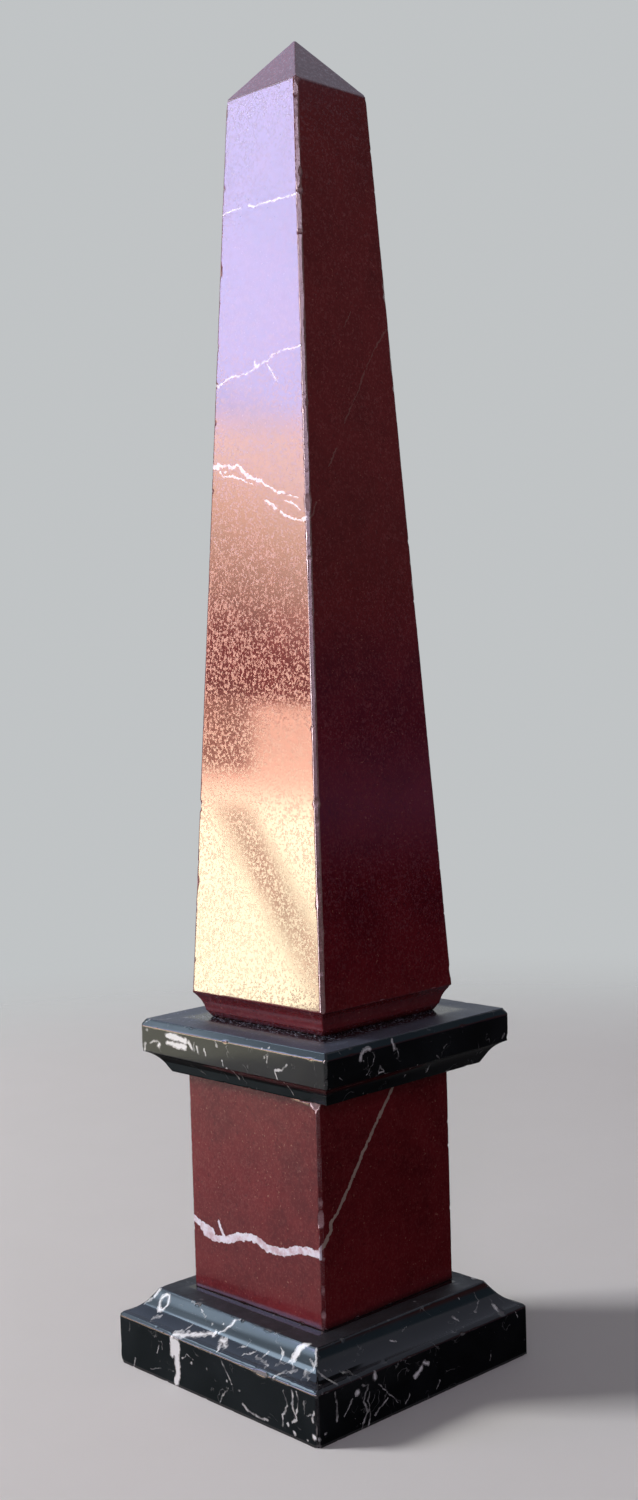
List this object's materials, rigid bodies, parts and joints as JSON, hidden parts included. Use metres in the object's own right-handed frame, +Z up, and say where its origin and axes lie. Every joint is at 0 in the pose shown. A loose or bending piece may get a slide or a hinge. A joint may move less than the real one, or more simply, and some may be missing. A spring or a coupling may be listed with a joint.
{
  "type": "desk obelisk",
  "caption": "Tabletop obelisk in polished red and black marble: tapering red shaft with a pyramid point on a black cap slab, red pedestal block and black moulded base.",
  "frame": {"origin": "centre of the base's underside, on the surface it stands on", "axes": "+Z up along the shaft; +X and +Y square to two neighbouring faces of the base"},
  "size_m": [0.1006, 0.1006, 0.45],
  "materials": {
    "red_marble": "polished dark oxblood marble with fine paler grain and thin white veins",
    "black_marble": "polished black marble with sharp white veins and pale fossil marks"
  },
  "bodies": {
    "root": {"base": "black_marble", "pedestal_block": "red_marble", "cap_slab": "black_marble", "shaft": "red_marble"}
  },
  "joints": []
}
